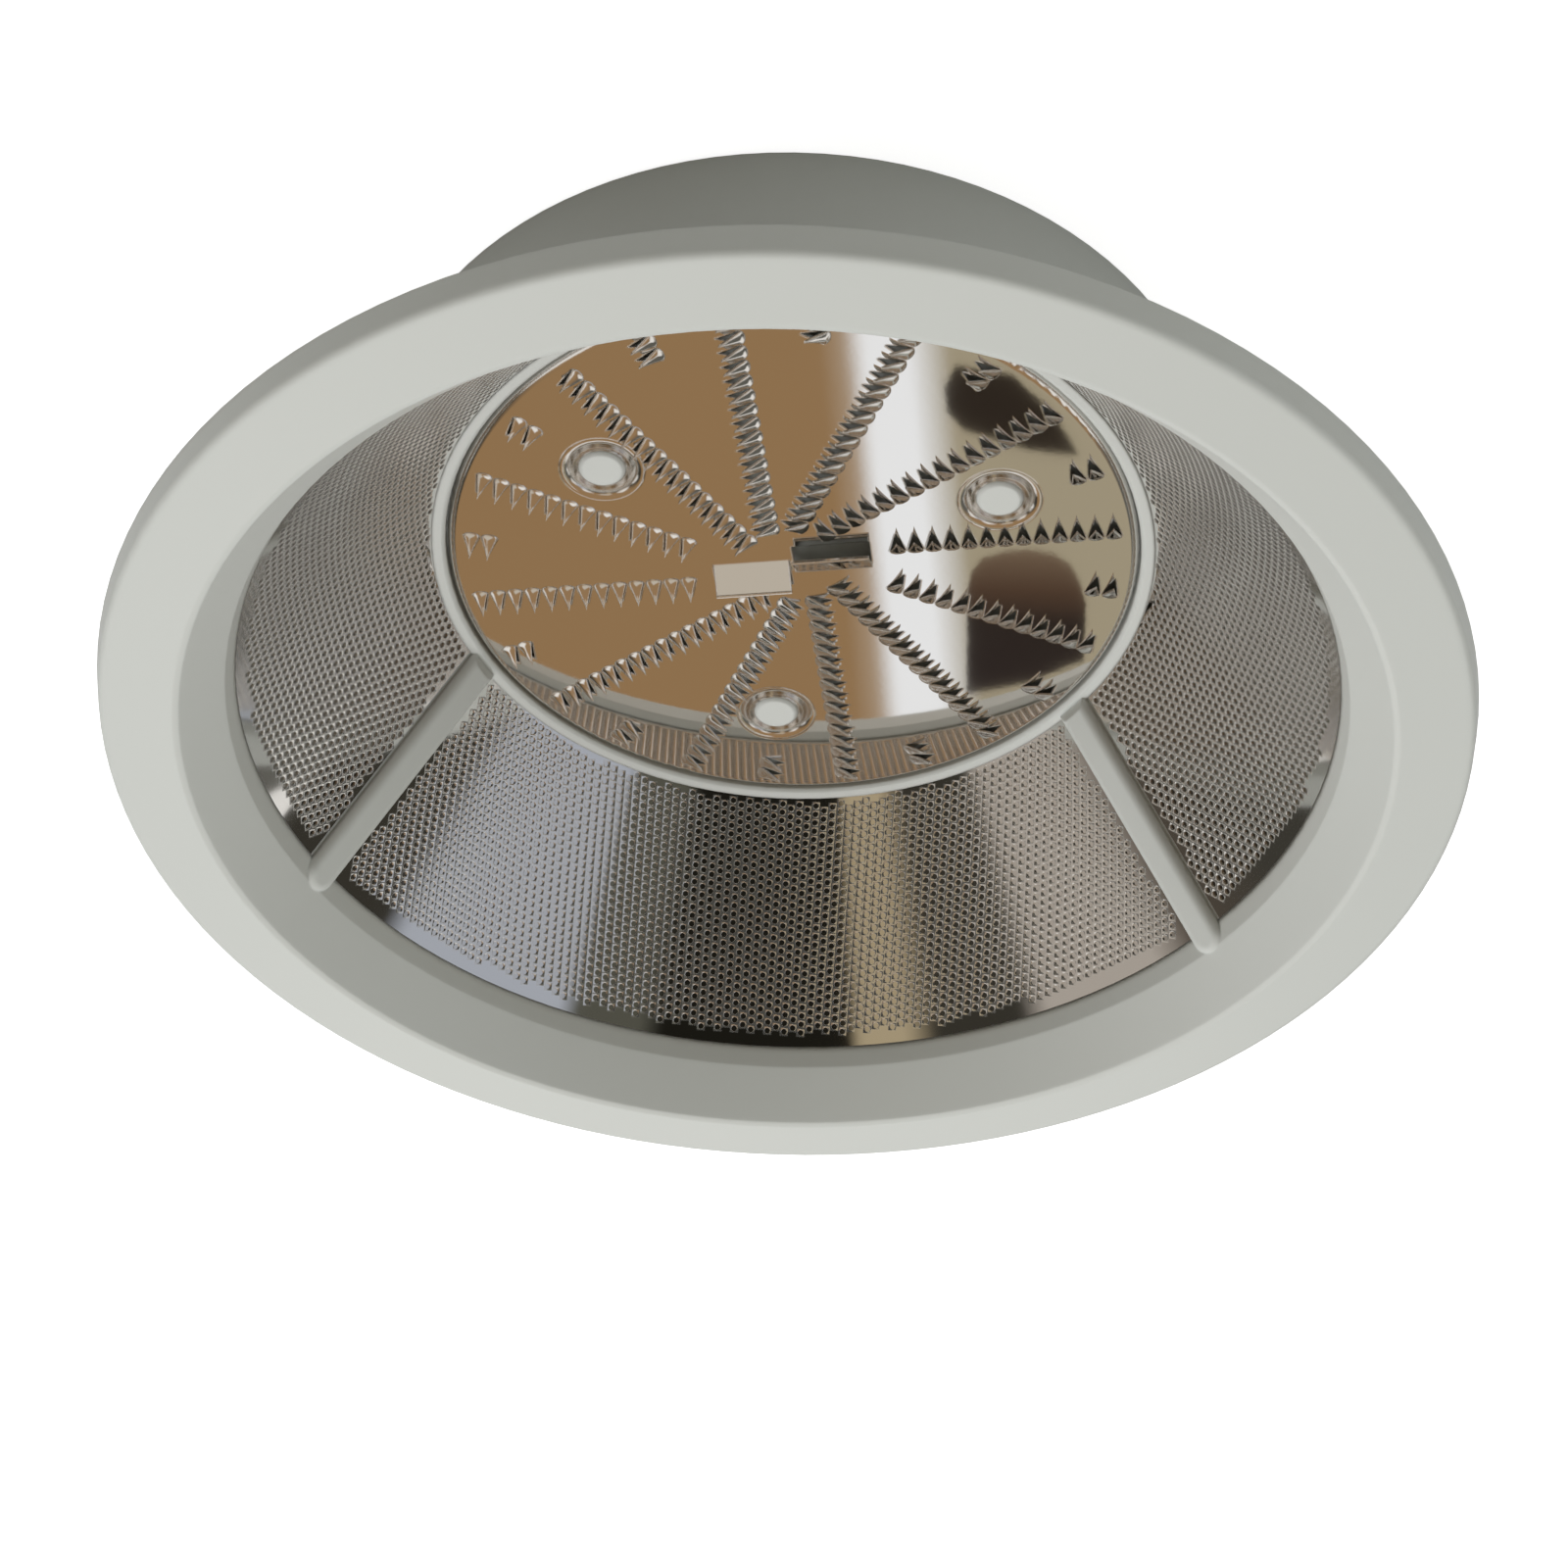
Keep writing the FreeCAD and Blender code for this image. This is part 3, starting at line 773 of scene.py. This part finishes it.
def lip_mesh(settings, material):
    """Rolled lip along the free edge of both centre blades."""
    sides = 16
    inset = 0.2 * MILLIMETRE
    sink = 0.08 * MILLIMETRE
    ahead = settings.blade_width - inset
    middle = Vector((settings.blade_start + settings.blade_length / 2,
                     ahead * math.cos(settings.blade_angle) - settings.blade_set_back,
                     DISC_LEVEL + ahead * math.sin(settings.blade_angle) - sink))
    mesh = bmesh.new()
    for half_turn in (0.0, math.pi):
        place = (Matrix.Rotation(settings.turn + half_turn, 4, "Z") @ Matrix.Translation(middle)
                 @ Matrix.Rotation(math.pi / 2, 4, "Y"))
        bmesh.ops.create_cone(mesh, cap_ends=True, segments=sides, radius1=settings.blade_lip,
                              radius2=settings.blade_lip, depth=settings.blade_length, matrix=place)
    data = bent_sheet_data("blade_lips", mesh)
    data.materials.append(material)
    return data


class SIEVE_OT_disc(bpy.types.Operator):
    """Make the grater disc of bright steel, with a curled tooth in each of its windows"""

    bl_idname = "sieve.disc"
    bl_label = "Grater disc"

    def execute(self, context):
        settings = context.scene.sieve_disc
        material = steel_material("disc_steel", settings.color, settings.roughness)
        soften_edges(material, settings.edge_round)
        plate = new_piece("disc_plate", plate_mesh(settings, material))
        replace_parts(plate, "grater_disc")
        tooth = tooth_object(settings)
        mesh = grown_mesh("disc_teeth", teeth_tree(), {
            "Half rows": HALF_ROWS, "Turn": settings.turn, "End radius": settings.end_radius,
            "Pitch": settings.pitch, "Long count": settings.long_count,
            "Short count": settings.short_count, "Pair count": settings.pair_count,
            "Level": DISC_LEVEL, "Tooth": tooth, "Material": material})
        bpy.data.objects.remove(tooth)
        for made in (mesh, dish_mesh(settings, material), lip_mesh(settings, material)):
            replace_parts(new_piece(made.name, made), "grater_disc")
        return {"FINISHED"}


def emitting(name, color):
    """Material that shines in one colour."""
    material = bpy.data.materials.new(name)
    material.use_nodes = True
    tree = material.node_tree
    tree.nodes.clear()
    glow = wired(tree, "ShaderNodeEmission", {"Color": (*color, 1.0), "Strength": 1.0})
    wired(tree, "ShaderNodeOutputMaterial", {"Surface": glow.outputs[0]})
    return material


def banded(name, coordinate, bands):
    """Material that shines in bands of colour along a coordinate from 0 to 1.

    The coordinate is made by a function from the tree and the separated object coordinates.
    """
    material = emitting(name, (1.0, 1.0, 1.0))
    tree = material.node_tree
    place = wired(tree, "ShaderNodeSeparateXYZ",
                  {0: wired(tree, "ShaderNodeTexCoord").outputs["Object"]}).outputs
    ramp = wired(tree, "ShaderNodeValToRGB", {0: coordinate(tree, place)})
    stops = ramp.color_ramp.elements
    while len(stops) < len(bands):
        stops.new(1.0)
    for stop, (position, color) in zip(stops, bands):
        stop.position = position
        stop.color = (*color, 1.0)
    tree.links.new(ramp.outputs["Color"], node_of(tree, "EMISSION").inputs["Color"])
    return material


def stage_object(name, mesh, material, place=None):
    """Object of the studio, not of the part."""
    mesh.materials.append(material)
    item = bpy.data.objects.new(name, mesh)
    if place is not None:
        item.matrix_world = place
    bpy.context.scene.collection.objects.link(item)
    return item


def only_in_reflections(item):
    """Card that lights nothing and shows only in shiny surfaces."""
    item.visible_camera = False
    item.visible_diffuse = False
    item.visible_shadow = False
    item.visible_transmission = False
    item.visible_volume_scatter = False


def card_mesh(name, corners):
    """Flat card with these corners, in millimetres."""
    mesh = bpy.data.meshes.new(name)
    mesh.from_pydata([(x * MILLIMETRE, y * MILLIMETRE, 0) for x, y in corners], [], [range(len(corners))])
    return mesh


def square(half):
    """Corners of a square with this half side."""
    return [(-half, -half), (half, -half), (half, half), (-half, half)]


def on_sky(azimuth, elevation, distance):
    """Placement above the disc with +Z towards its middle, in degrees from the camera's side."""
    turn = bpy.context.scene.sieve_stage.turn - math.pi / 2 + math.radians(azimuth)
    rise = math.radians(elevation)
    flat = distance * math.cos(rise)
    point = Vector((flat * math.cos(turn), flat * math.sin(turn), DISC_LEVEL + distance * math.sin(rise)))
    inward = Vector((0, 0, DISC_LEVEL)) - point
    return Matrix.Translation(point) @ inward.to_track_quat("Z", "Y").to_matrix().to_4x4()


def add_lamp(name, place, size, power, color):
    """Square lamp that the steel doesn't reflect."""
    lamp = bpy.data.lights.new(name, "AREA")
    lamp.size = size
    lamp.energy = power
    lamp.color = color
    item = bpy.data.objects.new(name, lamp)
    item.matrix_world = place @ Matrix.Rotation(math.pi, 4, "X")
    item.visible_glossy = False
    bpy.context.scene.collection.objects.link(item)


def add_floor(settings):
    """Pale floor that keeps the part's shadow and looks near white."""
    half_side = 3000
    clear_of_foot = 0.1 * MILLIMETRE
    material, shader = principled("pale_floor", {
        "Base Color": (*settings.floor_color, 1.0), "Roughness": 0.9, "Specular IOR Level": 0.1,
        "Emission Color": (1.0, 1.0, 1.0, 1.0)})
    tree = material.node_tree
    seen = wired(tree, "ShaderNodeLightPath").outputs["Is Camera Ray"]
    tree.links.new(calc(tree, "MULTIPLY", seen, settings.floor_glow), shader.inputs["Emission Strength"])
    below = Matrix.Translation((0, 0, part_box("basket_frame")[0].z - clear_of_foot))
    stage_object("floor", card_mesh("floor", square(half_side)), material, below)


def light_world(settings):
    """Even light of a warm tint, white where the camera looks past the floor."""
    warm = (1.0, 0.955, 0.80, 1.0)
    white = (1.0, 1.0, 1.0, 1.0)
    world = bpy.data.worlds.new("studio")
    world.use_nodes = True
    bpy.context.scene.world = world
    tree = world.node_tree
    seen = wired(tree, "ShaderNodeLightPath").outputs["Is Camera Ray"]
    strength = wired(tree, "ShaderNodeMix", {"Factor": seen, "A": settings.world_light, "B": 1.0})
    tree.links.new(strength.outputs[0], tree.nodes["Background"].inputs["Strength"])
    tint = wired(tree, "ShaderNodeMixRGB", {"Fac": seen, "Color1": warm, "Color2": white})
    tree.links.new(tint.outputs["Color"], tree.nodes["Background"].inputs["Color"])


def dome_mesh(name, radius):
    """Sphere that is open a little below its middle."""
    steps = 64
    levels = 32
    lowest = -0.2 * radius
    mesh = bmesh.new()
    bmesh.ops.create_uvsphere(mesh, u_segments=steps, v_segments=levels, radius=radius)
    lower = [vertex for vertex in mesh.verts if vertex.co.z < lowest]
    bmesh.ops.delete(mesh, geom=lower, context="VERTS")
    return mesh_data(name, mesh)


def add_room(settings):
    """Dome that only the shiny surfaces see, with upright bands under an even ceiling."""
    far_side = settings.turn + math.pi / 2
    ceiling_start = 0.72 * ROOM_RADIUS
    ceiling_whole = 0.86 * ROOM_RADIUS

    def round_share(tree, place):
        turn = calc(tree, "SUBTRACT", calc(tree, "ARCTAN2", place[1], place[0]), far_side)
        return calc(tree, "FRACT", calc(tree, "DIVIDE", turn, math.tau))

    dim = (0.12, 0.115, 0.10)
    shade = (0.05, 0.046, 0.037)
    dark = (0.04, 0.036, 0.028)
    black = (0.012, 0.011, 0.008)
    bluish = (0.43, 0.45, 0.50)
    olive = (0.095, 0.092, 0.072)
    cream = (0.44, 0.355, 0.225)
    sand = (0.45, 0.40, 0.35)
    brown = (0.09, 0.072, 0.055)

    # Degrees round the dome, with 0 on the camera's side
    bands = [
        (-180, dim), (-122, dim), (-116, dark), (-90, dark), (-85, bluish), (-49, bluish), (-45, olive),
        (-31, olive), (-26, black), (17, black), (20, cream), (30, cream), (37, dark), (56, dark),
        (62, sand), (86, sand), (95, brown), (116, shade), (165, shade), (180, dim)]
    material = banded("room_bands", round_share, [(0.5 + turn / 360.0, color) for turn, color in bands])
    tree = material.node_tree
    height = node_of(tree, "SEPXYZ").outputs[2]
    share = wired(tree, "ShaderNodeMapRange", {
        "Value": height, "From Min": ceiling_start, "From Max": ceiling_whole})
    mixed = wired(tree, "ShaderNodeMixRGB", {
        "Fac": share.outputs[0], "Color1": node_of(tree, "VALTORGB").outputs["Color"],
        "Color2": (*settings.ceiling_color, 1.0)})
    tree.links.new(mixed.outputs["Color"], node_of(tree, "EMISSION").inputs["Color"])
    only_in_reflections(stage_object("room", dome_mesh("room", ROOM_RADIUS), material))


def add_far_cards():
    """Cards over the far side, which the flat of the disc reflects to the camera."""
    far_side = 180
    far_elevation = 44.4
    band_scale = 2.0
    band_lean = 0.28
    shade_start = -0.035
    shade_height = 0.042

    def across(tree, place):
        lean = calc(tree, "MULTIPLY", place[1], band_lean)
        share = calc(tree, "SUBTRACT", 0.5, calc(tree, "MULTIPLY", place[0], band_scale))
        return calc(tree, "ADD", share, lean)

    def upward(tree, place):
        return calc(tree, "DIVIDE", calc(tree, "SUBTRACT", place[1], shade_start), shade_height)

    tan = (0.324, 0.198, 0.095)
    pink = (0.42, 0.31, 0.21)
    pale = (0.93, 0.94, 0.96)
    greige = (0.40, 0.345, 0.24)
    bands = banded("far_bands", across, [
        (0.0, tan), (0.528, tan), (0.542, pink), (0.553, pale), (0.578, pale), (0.602, greige),
        (1.0, greige)])
    dark = emitting("far_dark", (0.030, 0.022, 0.016))
    shaded = banded("far_shaded", upward, [
        (0.0, (0.030, 0.022, 0.020)), (0.50, (0.030, 0.022, 0.018)), (0.72, (0.085, 0.050, 0.032)),
        (1.0, (0.17, 0.115, 0.075))])
    glow = emitting("far_glow", (0.86, 0.83, 0.79))
    low = [(-190, -300), (190, -300), (190, -80), (-190, -80)]
    narrow = [(-150, -90), (150, -90), (150, 130), (-150, 130)]
    upper_shape = [(-41, 52), (-44, 58), (-60, 56), (-72, 46), (-80, 34), (-66, 35), (-47, 40), (-42, 45)]
    lower_shape = [(-50, -5), (-51, 0), (-54, 4), (-60, 6), (-67, 7), (-74, 6), (-79, 3), (-82, -2),
                   (-84, -8), (-84, -24), (-68, -31), (-51, -35)]
    for name, corners, material, distance in (
            ("far_glow", low, glow, CARD_DISTANCE), ("far_card", narrow, bands, 0.500),
            ("far_shape_upper", upper_shape, dark, 0.495), ("far_shape_lower", lower_shape, shaded, 0.495)):
        place = on_sky(far_side, far_elevation, distance)
        only_in_reflections(stage_object(name, card_mesh(name, corners), material, place))
    add_sky_cards(glow)


def add_sky_cards(glow):
    """Square cards all round, which give the teeth and blades their lights."""
    half_side = 90
    soft = emitting("sky_soft", (0.56, 0.50, 0.42))
    for name, azimuth, elevation, material in (
            ("sky_card_1", 121, 32, glow), ("sky_card_2", 88, 53, glow), ("sky_card_3", 30, 71, soft),
            ("sky_card_4", 302, 65, glow), ("sky_card_5", 257, 44, glow), ("sky_card_6", 229, 22, glow)):
        place = on_sky(azimuth, elevation, CARD_DISTANCE)
        only_in_reflections(stage_object(name, card_mesh(name, square(half_side)), material, place))


def add_shade_sleeve(screen):
    """Painted shade: a shiny sleeve behind the screen, seen only from inside, that stands in for the shaded
    floor seen through the holes, and is darker still behind the two side windows.
    """
    # Painted shade: the sleeve is darker behind the two side windows than behind the far window
    far_window_color = (0.75, 0.74, 0.72, 1.0)
    side_window_shade_color = (0.25, 0.24, 0.22, 1.0)
    segments = 256
    material, shader = principled("dim_sleeve", {"Metallic": 1.0, "Roughness": 0.08})
    tree = material.node_tree
    surface = wired(tree, "ShaderNodeNewGeometry").outputs
    place = wired(tree, "ShaderNodeSeparateXYZ", {0: surface["Position"]}).outputs
    turn = calc(tree, "SUBTRACT", calc(tree, "ARCTAN2", place[1], place[0]), window_middle(0))
    edge = math.cos(math.pi / WINDOW_COUNT)
    in_far_window = calc(tree, "GREATER_THAN", calc(tree, "COSINE", turn), edge)
    color = wired(tree, "ShaderNodeMixRGB", {
        "Fac": in_far_window, "Color1": side_window_shade_color, "Color2": far_window_color})
    tree.links.new(color.outputs["Color"], shader.inputs["Base Color"])
    clear = wired(tree, "ShaderNodeBsdfTransparent")
    mixed = wired(tree, "ShaderNodeMixShader", {
        0: surface["Backfacing"], 1: clear.outputs[0], 2: shader.outputs[0]})
    tree.links.new(mixed.outputs[0], tree.nodes["Material Output"].inputs["Surface"])
    mesh = bmesh.new()
    bmesh.ops.create_cone(mesh, segments=segments, radius1=screen.foot_radius + SLEEVE_GAP,
                          radius2=screen.top_radius + SLEEVE_GAP,
                          depth=screen.top_level - screen.foot_level)
    data = mesh_data("dim_sleeve", mesh)
    data.shade_smooth()
    middle = Matrix.Translation((0, 0, (screen.foot_level + screen.top_level) / 2))
    sleeve = stage_object("dim_sleeve", data, material, middle)
    sleeve.visible_diffuse = False
    sleeve.visible_shadow = False


def add_camera(settings):
    """Camera at the photograph's angle, rolled so that the near rim is at the top."""
    data = bpy.data.cameras.new("camera")
    data.lens = settings.lens
    data.sensor_width = SENSOR_WIDTH
    data.clip_start = 0.01
    camera = bpy.data.objects.new("camera", data)
    back = Vector((0, -math.cos(settings.elevation), math.sin(settings.elevation)))
    camera.matrix_world = (
        Matrix.Translation((0, 0, DISC_LEVEL))
        @ Matrix.Rotation(settings.turn, 4, "Z")
        @ Matrix.Translation(back * settings.distance)
        @ Matrix.Rotation(math.pi / 2 - settings.elevation + settings.pitch, 4, "X")
        @ Matrix.Rotation(-settings.roll, 4, "Z"))
    bpy.context.scene.collection.objects.link(camera)
    bpy.context.scene.camera = camera


class SIEVE_OT_stage(bpy.types.Operator):
    """Set up the floor, the lamps, the reflected cards and the camera"""

    bl_idname = "sieve.stage"
    bl_label = "Stage"

    def execute(self, context):
        settings = context.scene.sieve_stage
        context.scene.view_settings.view_transform = "Standard"
        add_floor(settings)
        light_world(settings)
        add_room(settings)
        add_far_cards()
        # Painted shade, seen through the screen's holes
        add_shade_sleeve(context.scene.sieve_screen)
        add_lamp("top_lamp", on_sky(150, 64, 1.2), 1.0, settings.top_power, (0.98, 1.0, 1.03))
        add_lamp("side_lamp", on_sky(100, 30, 1.0), 0.5, settings.side_power, (0.97, 0.99, 1.0))
        add_lamp("fill_lamp", on_sky(-65, 15, 1.0), 0.5, settings.fill_power, (0.92, 0.98, 1.0))
        add_camera(settings)
        return {"FINISHED"}


class SIEVE_PT_panel(bpy.types.Panel):
    """Pieces of the sieve basket"""

    bl_idname = "SIEVE_PT_panel"
    bl_label = "Sieve basket"
    bl_space_type = "VIEW_3D"
    bl_region_type = "UI"
    bl_category = "Sieve"

    def draw(self, context):
        for operator, group in PIECES:
            box = self.layout.box()
            box.operator(operator.bl_idname)
            settings = getattr(context.scene, group)
            for name in type(settings).__annotations__:
                box.prop(settings, name)


PIECES = (
    (SIEVE_OT_frame, "sieve_frame"),
    (SIEVE_OT_screen, "sieve_screen"),
    (SIEVE_OT_disc, "sieve_disc"),
    (SIEVE_OT_stage, "sieve_stage"),
)
GROUPS = {
    "sieve_frame": FrameSettings,
    "sieve_screen": ScreenSettings,
    "sieve_disc": DiscSettings,
    "sieve_stage": StageSettings,
}
CLASSES = (*GROUPS.values(), *(operator for operator, group in PIECES), SIEVE_PT_panel)


def register():
    for item in CLASSES:
        bpy.utils.register_class(item)
    for name, group in GROUPS.items():
        setattr(bpy.types.Scene, name, PointerProperty(type=group))


def unregister():
    for name in GROUPS:
        delattr(bpy.types.Scene, name)
    for item in reversed(CLASSES):
        bpy.utils.unregister_class(item)


def main():
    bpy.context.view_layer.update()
    register()
    bpy.ops.sieve.frame()
    bpy.ops.sieve.screen()
    bpy.ops.sieve.disc()
    bpy.ops.sieve.stage()


if __name__ == "__main__":
    main()
